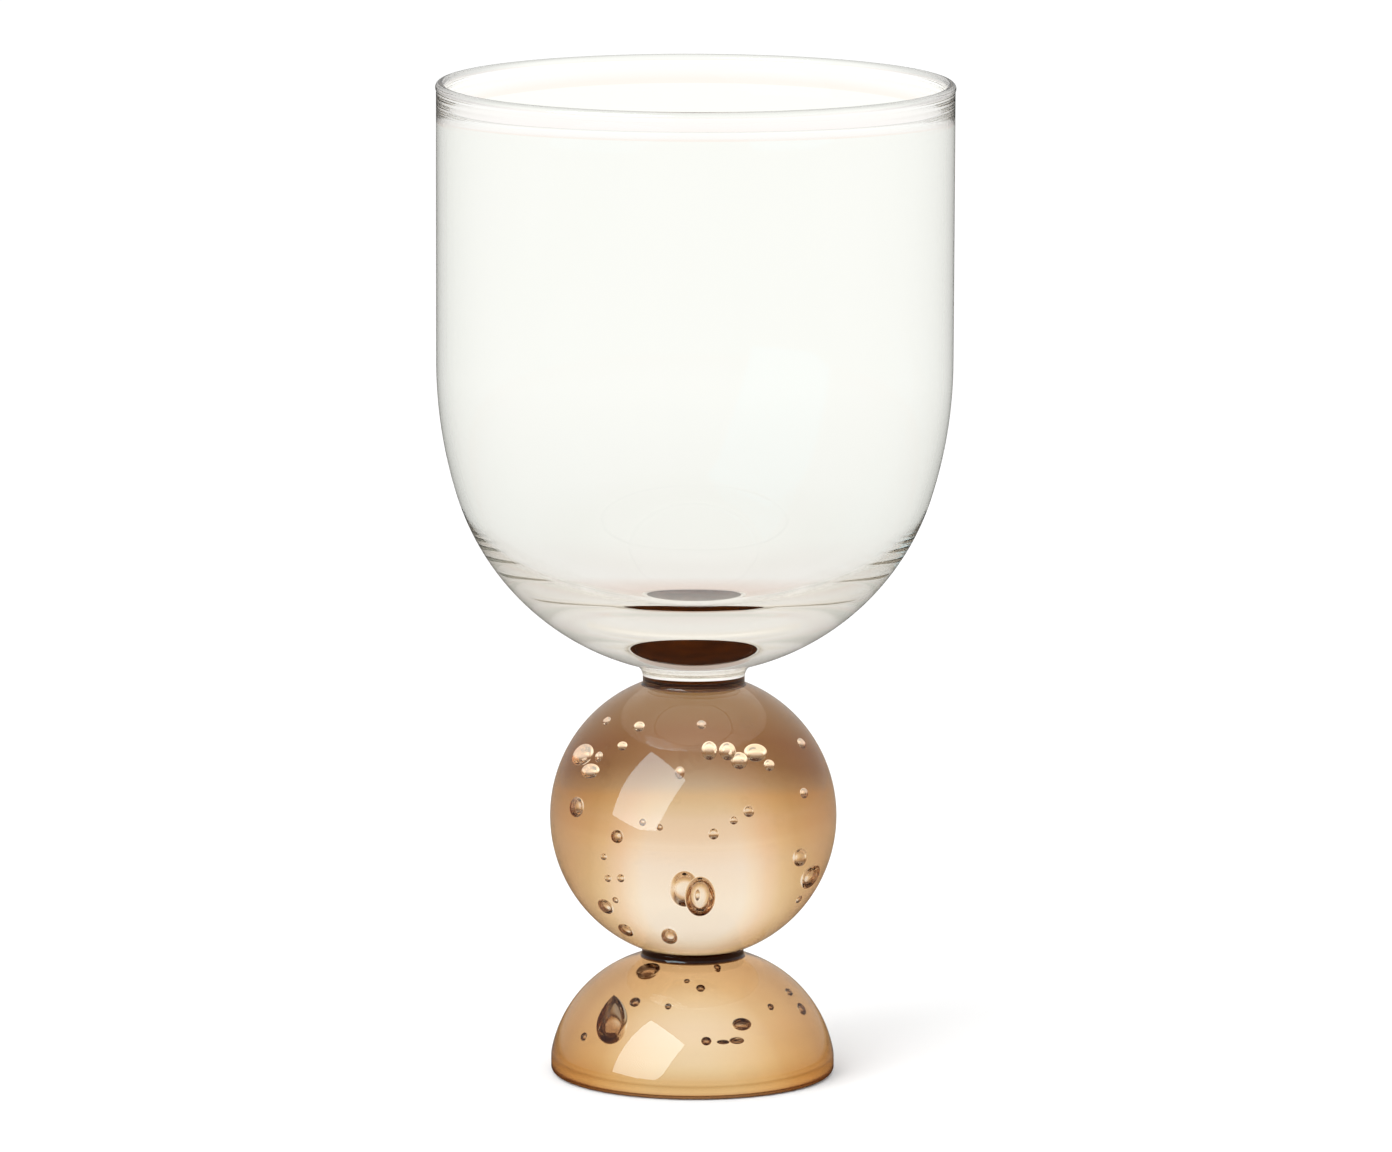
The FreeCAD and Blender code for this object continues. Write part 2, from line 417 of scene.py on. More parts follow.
@dataclass
class StemBall:
    """The amber ball between the foot and the bowl, with a dark seal in each joint."""

    bottom: float
    joint_radius: float = 8.7
    radius: float = 24.5
    lower_collar: float = 0.85
    upper_collar: float = 1.2
    collar_fillet: float = 0.6
    upper_seal: float = 0.45
    lower_seal: float = 1.25
    lower_seal_width: float = 1.3
    lower_seal_foot: float = 0.45
    seal_depth: float = 0.03

    def rise(self) -> float:
        """How far above its middle the bare ball narrows to the joint."""
        return math.sqrt(self.radius**2 - self.joint_radius**2)

    def centre(self) -> float:
        """The height of the ball's middle."""
        return self.bottom + self.lower_collar + self.rise()

    def top(self) -> float:
        """The height of the joint under the bowl."""
        return self.centre() + self.rise() + self.upper_collar

    def fillet(self) -> tuple[Spot, float]:
        """The fillet between the upper collar and the ball.

        Returns:
            Its middle, as seen from the ball's middle, and the angle where it meets the ball.
        """
        across = self.joint_radius + self.collar_fillet
        up = math.sqrt((self.radius + self.collar_fillet) ** 2 - across**2)
        return (across, up), math.degrees(math.atan2(up, across))

    def outline(self) -> Outline:
        """The ball's section.

        Returns:
            The points from the middle of its lower joint to the middle of its upper joint.
        """
        middle = self.centre()
        (across, up), angle = self.fillet()
        low = self.bottom - FUSED
        high = self.top() + FUSED
        return (
            straight((0, low), (self.joint_radius, low), 4)
            + straight((self.joint_radius, low), (self.joint_radius, middle - up), 2)
            + arc((across, middle - up), self.collar_fillet, 180, 180 - angle, 10)
            + arc((0, middle), self.radius, -angle, angle, 120)
            + arc((across, middle + up), self.collar_fillet, 180 + angle, 180, 10)
            + straight((self.joint_radius, middle + up), (self.joint_radius, high), 2)
            + straight((self.joint_radius, high), (0, high), 4)
        )

    def upper_seal_outline(self) -> Outline:
        """The section of the dark disc under the bowl.

        Returns:
            The points from the middle of its underside to the middle of its top.
        """
        edge = self.joint_radius - self.seal_depth
        high = self.top() + 2 * FUSED
        low = high - self.upper_seal
        return (
            straight((0, low), (edge, low), 4)
            + straight((edge, low), (edge, high), 2)
            + straight((edge, high), (0, high), 4)
        )

    def lower_seal_outline(self) -> Outline:
        """The section of the dark ring on the foot, which widens with the collar up into the ball.

        Returns:
            The points round the section, with the inside on the left.
        """
        middle = self.centre()
        (across, up), angle = self.fillet()
        inner = self.radius - self.seal_depth
        fillet = self.collar_fillet + self.seal_depth
        low = self.bottom + self.seal_depth
        end = math.degrees(math.asin((low + self.lower_seal - middle) / inner))
        hole = across - fillet - self.lower_seal_width
        base = self.bottom - self.lower_seal_foot
        return (
            straight((hole, base), (across - fillet, base), 2)
            + arc((across, middle - up), fillet, 180, 180 - angle, 10)
            + arc((0, middle), inner, -angle, end, 6)[1:]
            + [(hole, low + self.lower_seal)]
        )

    def build(self) -> list[Skin]:
        """The ball's outside and its bubbles."""
        return [Turned().build(self.outline()), *Bubbles("stem_ball").build()]

    def build_seals(self) -> list[Skin]:
        """The dark ring in the lower joint and the dark disc in the upper one."""
        turned = Turned(128)
        return [turned.build_ring(self.lower_seal_outline()), turned.build(self.upper_seal_outline())]


@dataclass
class Bowl:
    """The clear bowl on top of the ball."""

    bottom: float
    joint_radius: float = 8.7
    height: float = 101.9
    radius: float = 43.9
    side_sweep: float = 76.825
    side_sweep_angle: float = 17.4
    base_sweep: float = 43.593
    neck_fillet: float = 2.53
    wall: float = 1.4
    base_thickness: float = 9.9
    corner_sweep: float = 26.999
    floor_sweep: float = 71.996
    bead_radius: float = 0.84

    def centres(self) -> tuple[Spot, Spot, Spot]:
        """The middles of the bowl's outer arcs.

        Returns:
            The middles of the side's arc, the base's arc and the neck's fillet.
        """
        turn = math.radians(self.side_sweep_angle)
        inset = self.side_sweep - self.base_sweep
        across = self.radius - self.side_sweep + inset * math.cos(turn)
        neck = (self.joint_radius + self.neck_fillet, self.bottom)
        drop = math.sqrt((self.base_sweep + self.neck_fillet) ** 2 - (neck[0] - across) ** 2)
        base = (across, self.bottom + drop)
        return (self.radius - self.side_sweep, base[1] + inset * math.sin(turn)), base, neck

    def inside(self, side: Spot, base: Spot, wall_top: float) -> Outline:
        """The cavity's section.

        Args:
            side: The middle of the side's arc.
            base: The middle of the base's arc.
            wall_top: The height where the wall meets the bead.

        Returns:
            The points from the rim's bead down to the middle of the floor.
        """
        inner = self.radius - self.wall
        floor = (0.0, self.bottom + self.base_thickness + self.floor_sweep)
        apart = math.dist(floor, base)
        base_gap = self.base_sweep - self.wall - self.corner_sweep
        floor_gap = self.floor_sweep - self.corner_sweep
        turn = math.acos((base_gap**2 + apart**2 - floor_gap**2) / (2 * base_gap * apart))
        corner_angle = direction(base, floor) - math.degrees(turn)
        corner = arc(base, base_gap, corner_angle, corner_angle, 1)[0]
        floor_angle = direction(floor, corner)
        return (
            straight((inner, wall_top), (inner, side[1]), 8)
            + arc(side, self.side_sweep - self.wall, 0, -self.side_sweep_angle, 20)
            + arc(base, self.base_sweep - self.wall, -self.side_sweep_angle, corner_angle, 8)
            + arc(corner, self.corner_sweep, corner_angle, floor_angle, 60)
            + arc(floor, self.floor_sweep, floor_angle, -90, 24)
        )

    def outline(self) -> Outline:
        """The bowl's section.

        Returns:
            The points from the middle of its joint over the rim to the middle of its inner floor.
        """
        side, base, neck = self.centres()
        neck_angle = direction(neck, base)
        bead = (self.radius - self.wall / 2, self.bottom + self.height - self.bead_radius)
        bead_angle = math.degrees(math.acos(self.wall / 2 / self.bead_radius))
        wall_top = bead[1] - math.sqrt(self.bead_radius**2 - (self.wall / 2) ** 2)
        return (
            straight((0, self.bottom), (self.joint_radius, self.bottom), 4)
            + arc(neck, self.neck_fillet, 180, neck_angle, 16)
            + arc(base, self.base_sweep, neck_angle - 180, -self.side_sweep_angle, 70)
            + arc(side, self.side_sweep, -self.side_sweep_angle, 0, 16)
            + straight((self.radius, side[1]), (self.radius, wall_top), 8)
            + arc(bead, self.bead_radius, -bead_angle, 180 + bead_angle, 18)
            + self.inside(side, base, wall_top)
        )

    def build(self) -> list[Skin]:
        """The one surface of the bowl, outside and inside."""
        return [Turned().build(self.outline())]


def new_group(name: str, inputs: dict[str, str], outputs: dict[str, str]) -> bpy.types.NodeTree:
    """An empty shader node group.

    Args:
        name: The group's name.
        inputs: Names and kinds of its inputs.
        outputs: Names and kinds of its outputs.

    Returns:
        The group, with its two end nodes named "in" and "out".
    """
    group = bpy.data.node_groups.new(name, "ShaderNodeTree")
    for ways, sockets in (("INPUT", inputs), ("OUTPUT", outputs)):
        for label, kind in sockets.items():
            group.interface.new_socket(label, in_out=ways, socket_type="NodeSocket" + kind)
    group.nodes.new("NodeGroupInput").name = "in"
    group.nodes.new("NodeGroupOutput").name = "out"
    return group


def tone_ramp(nodes: bpy.types.Nodes, tones: Tones) -> bpy.types.Node:
    """A ramp of colours.

    Args:
        nodes: The nodes that it joins.
        tones: Places from 0 to 1 and their colours, in order.

    Returns:
        The ramp's node.
    """
    ramp = nodes.new("ShaderNodeValToRGB")
    elements = ramp.color_ramp.elements
    while len(elements) < len(tones):
        elements.new(0.5)
    for element, (place, colour) in zip(elements, tones):
        element.position = place
        element.color = (*colour, 1)
    return ramp


@dataclass(frozen=True)
class Swirl:
    """Faint drawn-out streaks and waves, as molten glass keeps them."""

    name: str = "glass_swirl"

    def group(self) -> bpy.types.NodeTree:
        """The group, made the first time that it is asked for.

        Returns:
            A group that turns a place on the glass into a streak's shade and a wave's height.
        """
        if self.name in bpy.data.node_groups:
            return bpy.data.node_groups[self.name]
        inputs = {"Place": "Vector", "Scale": "Float"}
        group = new_group(self.name, inputs, {"Shade": "Float", "Height": "Float"})
        nodes, links = group.nodes, group.links
        squash = nodes.new("ShaderNodeVectorMath")
        squash.operation = "MULTIPLY"
        squash.inputs[1].default_value = (1, 1, 0.35)
        streaks = nodes.new("ShaderNodeTexNoise")
        streaks.inputs["Detail"].default_value = 3
        streaks.inputs["Distortion"].default_value = 1.2
        waves = nodes.new("ShaderNodeTexNoise")
        waves.inputs["Detail"].default_value = 0
        links.new(nodes["in"].outputs["Place"], squash.inputs[0])
        for noise in (streaks, waves):
            links.new(squash.outputs["Vector"], noise.inputs["Vector"])
            links.new(nodes["in"].outputs["Scale"], noise.inputs["Scale"])
        links.new(streaks.outputs["Fac"], nodes["out"].inputs["Shade"])
        links.new(waves.outputs["Fac"], nodes["out"].inputs["Height"])
        return group


@dataclass(frozen=True)
class SlantShade:
    """Painted shade: a deeper, browner colour where light leaves a round glass at a slant, in place of the
    darker surroundings seen through its sides.
    """

    name: str = "painted_slant_shade"
    # Painted shade, ever browner and darker towards edge-on
    tones: Tones = (
        (0.03, (1.0, 1.0, 1.0)),
        (0.042, (1.0, 0.91, 0.78)),
        (0.065, (0.89, 0.64, 0.43)),
        (0.096, (0.69, 0.44, 0.20)),
        (0.132, (0.52, 0.29, 0.105)),
        (0.176, (0.45, 0.225, 0.085)),
        (0.25, (0.32, 0.16, 0.07)),
    )

    def group(self) -> bpy.types.NodeTree:
        """The group, made the first time that it is asked for.

        Returns:
            A group that turns a slant, from 0 straight through to 1 edge-on, and a streak into a colour
            with painted shade towards the edge-on slant.
        """
        if self.name in bpy.data.node_groups:
            return bpy.data.node_groups[self.name]
        inputs = {"Slant": "Float", "Amount": "Float", "Shade": "Float", "Streak": "Color"}
        group = new_group(self.name, inputs, {"Tint": "Color"})
        nodes, links = group.nodes, group.links
        start = nodes["in"].outputs
        ramp = tone_ramp(nodes, self.tones)
        weaker = nodes.new("ShaderNodeMix")
        weaker.data_type = "RGBA"
        weaker.inputs["A"].default_value = (1, 1, 1, 1)
        streaked = nodes.new("ShaderNodeMix")
        streaked.data_type = "RGBA"
        streaked.blend_type = "MULTIPLY"
        links.new(start["Slant"], ramp.inputs["Fac"])
        links.new(start["Amount"], weaker.inputs["Factor"])
        links.new(ramp.outputs["Color"], weaker.inputs["B"])
        links.new(start["Shade"], streaked.inputs["Factor"])
        links.new(weaker.outputs["Result"], streaked.inputs["A"])
        links.new(start["Streak"], streaked.inputs["B"])
        links.new(streaked.outputs["Result"], nodes["out"].inputs["Tint"])
        return group


@dataclass(frozen=True)
class PaintedBaseRings:
    """Painted light and shade low on the foot: gold rings of painted light and a dark edge of painted shade
    over its flat base.
    """

    name: str = "painted_base_rings"
    reach: float = 0.016
    climb: float = 0.07
    # Painted shade at the base edge, gold rings of painted light above it, white higher up
    near_tones: Tones = (
        (0.0, (0.08, 0.03, 0.01)),
        (0.028, (0.14, 0.05, 0.02)),
        (0.045, (0.50, 0.27, 0.10)),
        (0.075, (0.68, 0.40, 0.13)),
        (0.112, (0.58, 0.33, 0.10)),
        (0.138, (0.42, 0.21, 0.05)),
        (0.162, (0.60, 0.36, 0.12)),
        (0.206, (0.62, 0.38, 0.14)),
        (0.294, (0.70, 0.52, 0.26)),
        (0.38, (0.78, 0.62, 0.38)),
        (0.51, (0.80, 0.66, 0.46)),
        (0.675, (0.88, 0.78, 0.66)),
        (0.84, (0.92, 0.90, 0.82)),
        (1.0, (1.0, 1.0, 1.0)),
    )
    # For light leaving the glass: painted shade low down, white higher up
    far_tones: Tones = (
        (0.0, (0.10, 0.035, 0.012)),
        (0.044, (0.30, 0.15, 0.05)),
        (0.125, (0.60, 0.40, 0.20)),
        (0.20, (0.85, 0.75, 0.55)),
        (0.262, (1.0, 1.0, 1.0)),
    )

    def group(self) -> bpy.types.NodeTree:
        """The group, made the first time that it is asked for.

        Returns:
            A group that turns a place on the glass, and the way through its surface, into painted light and
            shade.
        """
        if self.name in bpy.data.node_groups:
            return bpy.data.node_groups[self.name]
        group = new_group(self.name, PAINTED_MARK_INPUTS, {"Tint": "Color"})
        nodes, links = group.nodes, group.links
        parts = nodes.new("ShaderNodeSeparateXYZ")
        share = nodes.new("ShaderNodeMath")
        share.operation = "DIVIDE"
        share.inputs[1].default_value = self.reach
        lower = nodes.new("ShaderNodeMath")
        lower.operation = "MULTIPLY_ADD"
        lower.inputs[1].default_value = -self.climb
        sides = nodes.new("ShaderNodeMix")
        sides.data_type = "RGBA"
        links.new(nodes["in"].outputs["Place"], parts.inputs[0])
        links.new(parts.outputs["Z"], share.inputs[0])
        links.new(nodes["in"].outputs["Facing"], lower.inputs[0])
        links.new(share.outputs[0], lower.inputs[2])
        for tones, height, end in ((self.near_tones, lower, "A"), (self.far_tones, share, "B")):
            ramp = tone_ramp(nodes, tones)
            links.new(height.outputs[0], ramp.inputs["Fac"])
            links.new(ramp.outputs["Color"], sides.inputs[end])
        links.new(nodes["in"].outputs["Leaving"], sides.inputs["Factor"])
        links.new(sides.outputs["Result"], nodes["out"].inputs["Tint"])
        return group


@dataclass(frozen=True)
class RimShadeLine:
    """Painted shade: a thin grey line along the round rim, darker where the rim turns away."""

    name: str = "painted_rim_shade"
    above: float = 0.1695
    # Painted shade, greyer as the rim turns edge-on
    tones: Tones = (
        (0.25, (1.0, 1.0, 1.0)),
        (0.5, (0.68, 0.68, 0.69)),
        (1.0, (0.45, 0.45, 0.46)),
    )

    def group(self) -> bpy.types.NodeTree:
        """The group, made the first time that it is asked for.

        Returns:
            A group that turns a place on the glass and how far it turns away into the rim's painted grey
            shade.
        """
        if self.name in bpy.data.node_groups:
            return bpy.data.node_groups[self.name]
        group = new_group(self.name, PAINTED_MARK_INPUTS, {"Tint": "Color"})
        nodes, links = group.nodes, group.links
        parts = nodes.new("ShaderNodeSeparateXYZ")
        higher = nodes.new("ShaderNodeMath")
        higher.operation = "GREATER_THAN"
        higher.inputs[1].default_value = self.above
        ramp = tone_ramp(nodes, self.tones)
        line = nodes.new("ShaderNodeMix")
        line.data_type = "RGBA"
        line.inputs["A"].default_value = (1, 1, 1, 1)
        links.new(nodes["in"].outputs["Place"], parts.inputs[0])
        links.new(parts.outputs["Z"], higher.inputs[0])
        links.new(nodes["in"].outputs["Facing"], ramp.inputs["Fac"])
        links.new(higher.outputs[0], line.inputs["Factor"])
        links.new(ramp.outputs["Color"], line.inputs["B"])
        links.new(line.outputs["Result"], nodes["out"].inputs["Tint"])
        return group


@dataclass(frozen=True)
class TopGlints:
    """Painted highlights: the tops of the bubbles that lie high in the ball glow as though lit from above.
    """

    name: str = "top_glints"
    # Colour of the painted glow
    colour: Colour = (0.62, 0.55, 0.45)
    low: float = 0.0475
    high: float = 0.0515
    slope_low: float = 0.0
    slope_high: float = 0.5

    def group(self) -> bpy.types.NodeTree:
        """The group, made the first time that it is asked for.

        Returns:
            A group that turns a place, the surface's direction and the way through it into a painted glow.
        """
        if self.name in bpy.data.node_groups:
            return bpy.data.node_groups[self.name]
        inputs = {"Place": "Vector", "Direction": "Vector", "Leaving": "Float"}
        group = new_group(self.name, inputs, {"Glow": "Color"})
        nodes, links = group.nodes, group.links
        amount = nodes["in"].outputs["Leaving"]
        steps = (("Place", self.low, self.high), ("Direction", self.slope_low, self.slope_high))
        for end, low, high in steps:
            parts = nodes.new("ShaderNodeSeparateXYZ")
            step = nodes.new("ShaderNodeMapRange")
            step.interpolation_type = "SMOOTHSTEP"
            step.inputs["From Min"].default_value = low
            step.inputs["From Max"].default_value = high
            both = nodes.new("ShaderNodeMath")
            both.operation = "MULTIPLY"
            links.new(nodes["in"].outputs[end], parts.inputs[0])
            links.new(parts.outputs["Z"], step.inputs["Value"])
            links.new(step.outputs["Result"], both.inputs[0])
            links.new(amount, both.inputs[1])
            amount = both.outputs[0]
        glow = nodes.new("ShaderNodeMix")
        glow.data_type = "RGBA"
        glow.inputs["A"].default_value = (0, 0, 0, 1)
        glow.inputs["B"].default_value = (*self.colour, 1)
        links.new(amount, glow.inputs["Factor"])
        links.new(glow.outputs["Result"], nodes["out"].inputs["Glow"])
        return group


@dataclass(frozen=True)
class SlantFade:
    """Where the painted slant shade takes hold: its least share at the low height, in metres, then ever
    more.
    """

    low: float = 0.0
    high: float = 0.001
    least: float = 1.0


@dataclass(frozen=True)
class GlassFinish:
    """How one glass surface looks."""

    name: str
    streak: Colour
    colour: Colour = (1.0, 1.0, 1.0)
    density: float = 0.0
    slant: SlantShade = SlantShade("no_slant", NO_TONES)
    fade: SlantFade = SlantFade()
    # Painted light and shade: the rim's grey line or the foot's base rings
    painted_mark: PaintedBaseRings | RimShadeLine | None = None
    glints: TopGlints | None = None
    ior: float = 1.5
    swirl_scale: float = 55.0
    wave: float = 0.00002

    def material(self) -> bpy.types.Material:
        """Glass that bends light, with the colour held in its depth, and with painted shade, painted light
        and a painted glow on its surface where they are set.

        Returns:
            The material.
        """
        mat = bpy.data.materials.new(self.name)
        mat.use_nodes = True
        nodes, links = mat.node_tree.nodes, mat.node_tree.links
        shader = nodes["Principled BSDF"]
        shader.inputs["Roughness"].default_value = 0.0
        shader.inputs["IOR"].default_value = self.ior
        shader.inputs["Transmission Weight"].default_value = 1.0
        place = nodes.new("ShaderNodeTexCoord")
        swirl = nodes.new("ShaderNodeGroup")
        swirl.node_tree = Swirl().group()
        swirl.inputs["Scale"].default_value = self.swirl_scale
        links.new(place.outputs["Object"], swirl.inputs["Place"])
        waves = nodes.new("ShaderNodeBump")
        waves.inputs["Strength"].default_value = 1.0
        waves.inputs["Distance"].default_value = self.wave
        links.new(swirl.outputs["Height"], waves.inputs["Height"])
        links.new(waves.outputs["Normal"], shader.inputs["Normal"])
        # Painted shade at the slant, times the glass's own streaks
        slant_shade = nodes.new("ShaderNodeGroup")
        slant_shade.node_tree = self.slant.group()
        slant_shade.inputs["Streak"].default_value = (*self.streak, 1)
        parts = nodes.new("ShaderNodeSeparateXYZ")
        rise = nodes.new("ShaderNodeMapRange")
        rise.inputs["From Min"].default_value = self.fade.low
        rise.inputs["From Max"].default_value = self.fade.high
        rise.inputs["To Min"].default_value = self.fade.least
        links.new(place.outputs["Object"], parts.inputs[0])
        links.new(parts.outputs["Z"], rise.inputs["Value"])
        links.new(rise.outputs["Result"], slant_shade.inputs["Amount"])
        links.new(swirl.outputs["Shade"], slant_shade.inputs["Shade"])
        links.new(self.slant_of(nodes, links), slant_shade.inputs["Slant"])
        shaded_colour = slant_shade.outputs["Tint"]
        # Painted light and shade on top of that
        if self.painted_mark:
            painted_mark = nodes.new("ShaderNodeGroup")
            painted_mark.node_tree = self.painted_mark.group()
            weight = nodes.new("ShaderNodeLayerWeight")
            side = nodes.new("ShaderNodeNewGeometry")
            both = nodes.new("ShaderNodeMix")
            both.data_type = "RGBA"
            both.blend_type = "MULTIPLY"
            both.inputs["Factor"].default_value = 1.0
            links.new(place.outputs["Object"], painted_mark.inputs["Place"])
            links.new(weight.outputs["Facing"], painted_mark.inputs["Facing"])
            links.new(side.outputs["Backfacing"], painted_mark.inputs["Leaving"])
            links.new(shaded_colour, both.inputs["A"])
            links.new(painted_mark.outputs["Tint"], both.inputs["B"])
            shaded_colour = both.outputs["Result"]
        links.new(shaded_colour, shader.inputs["Base Color"])
        # Painted highlight: the bubbles' tops glow by emission, with no lamp
        if self.glints:
            shader.inputs["Emission Strength"].default_value = 1.0
            glints = nodes.new("ShaderNodeGroup")
            glints.node_tree = self.glints.group()
            surface = nodes.new("ShaderNodeNewGeometry")
            links.new(place.outputs["Object"], glints.inputs["Place"])
            links.new(surface.outputs["Normal"], glints.inputs["Direction"])
            links.new(surface.outputs["Backfacing"], glints.inputs["Leaving"])
            links.new(glints.outputs["Glow"], shader.inputs["Emission Color"])
        if self.density > 0:
            depth = nodes.new("ShaderNodeVolumeAbsorption")
            depth.inputs["Color"].default_value = (*self.colour, 1)
            depth.inputs["Density"].default_value = self.density
            links.new(depth.outputs["Volume"], nodes["Material Output"].inputs["Volume"])
        return mat

    def slant_of(self, nodes: bpy.types.Nodes, links: bpy.types.NodeLinks) -> bpy.types.NodeSocket:
        """How far from straight through light leaves the glass, measured round the upright axis.

        Args:
            nodes: The material's nodes.
            links: The material's links.

        Returns:
            The socket with the slant, 0 where light enters.
        """
        side = nodes.new("ShaderNodeNewGeometry")
        level = nodes.new("ShaderNodeVectorMath")
        level.operation = "MULTIPLY"
        level.inputs[1].default_value = (1, 1, 0)
        unit = nodes.new("ShaderNodeVectorMath")
        unit.operation = "NORMALIZE"
        weight = nodes.new("ShaderNodeLayerWeight")
        leaving = nodes.new("ShaderNodeMath")
        leaving.operation = "MULTIPLY"
        links.new(side.outputs["Normal"], level.inputs[0])
        links.new(level.outputs["Vector"], unit.inputs[0])
        links.new(unit.outputs["Vector"], weight.inputs["Normal"])
        links.new(weight.outputs["Facing"], leaving.inputs[0])
        links.new(side.outputs["Backfacing"], leaving.inputs[1])
        return leaving.outputs[0]


@dataclass(frozen=True)
class SealFinish:
    """The nearly black brown of the seals in the joints."""

    name: str = "dark_seal"
    side: Colour = (0.055, 0.010, 0.001)
    deep: Colour = (0.07, 0.015, 0.001)
    warm: Colour = (0.17, 0.038, 0.002)
    scale: float = 260.0
    roughness: float = 0.6

    def material(self) -> bpy.types.Material:
        """An opaque dark brown with faint clouds.

        Returns:
            The material.
        """
        mat = bpy.data.materials.new(self.name)
        mat.use_nodes = True
        nodes, links = mat.node_tree.nodes, mat.node_tree.links
        shader = nodes["Principled BSDF"]
        shader.inputs["Roughness"].default_value = self.roughness
        shader.inputs["Specular IOR Level"].default_value = 0.0
        place = nodes.new("ShaderNodeTexCoord")
        clouds = nodes.new("ShaderNodeTexNoise")
        clouds.inputs["Scale"].default_value = self.scale
        ramp = tone_ramp(nodes, ((0.3, self.deep), (0.7, self.warm)))
        surface = nodes.new("ShaderNodeNewGeometry")
        parts = nodes.new("ShaderNodeSeparateXYZ")
        level = nodes.new("ShaderNodeMix")
        level.data_type = "RGBA"
        level.inputs["A"].default_value = (*self.side, 1)
        links.new(place.outputs["Object"], clouds.inputs["Vector"])
        links.new(clouds.outputs["Fac"], ramp.inputs["Fac"])
        links.new(surface.outputs["Normal"], parts.inputs[0])
        links.new(parts.outputs["Z"], level.inputs["Factor"])
        links.new(ramp.outputs["Color"], level.inputs["B"])
        links.new(level.outputs["Result"], shader.inputs["Base Color"])
        return mat


@dataclass
class Piece:
    """One object of the goblet, made of closed surfaces."""

    name: str
    node: str
    slot: Glass
    skins: list[Skin]
    sharp: float = 40.0

    def dress(self, materials: list[bpy.types.Material]) -> bpy.types.Object:
        """Make the object and put it in the place of its CAD node.

        Args:
            materials: The material of the outside, and of the bubbles where there are any.

        Returns:
            The new object.
        """
        points: list[Vector] = []
        faces: list[Face] = []
        kinds: list[int] = []
        for skin in self.skins:
            start = len(points)
            points += [p * MM for p in skin.points]
            faces += [tuple(start + i for i in side) for side in skin.faces]
            kinds += [skin.surface.value] * len(skin.faces)
        mesh = bpy.data.meshes.new(self.name)
        mesh.from_pydata(points, [], faces)
        for material in materials:
            mesh.materials.append(material)
        mesh.polygons.foreach_set("material_index", kinds)
        mesh.shade_smooth()
        mesh.set_sharp_from_angle(angle=math.radians(self.sharp))
        made = bpy.data.objects.new(self.name, mesh)
        bpy.context.scene.collection.objects.link(made)
        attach(made, BODY)
        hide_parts(self.node)
        LOG.info("%s: %d surfaces, %d faces", self.name, len(self.skins), len(faces))
        return made


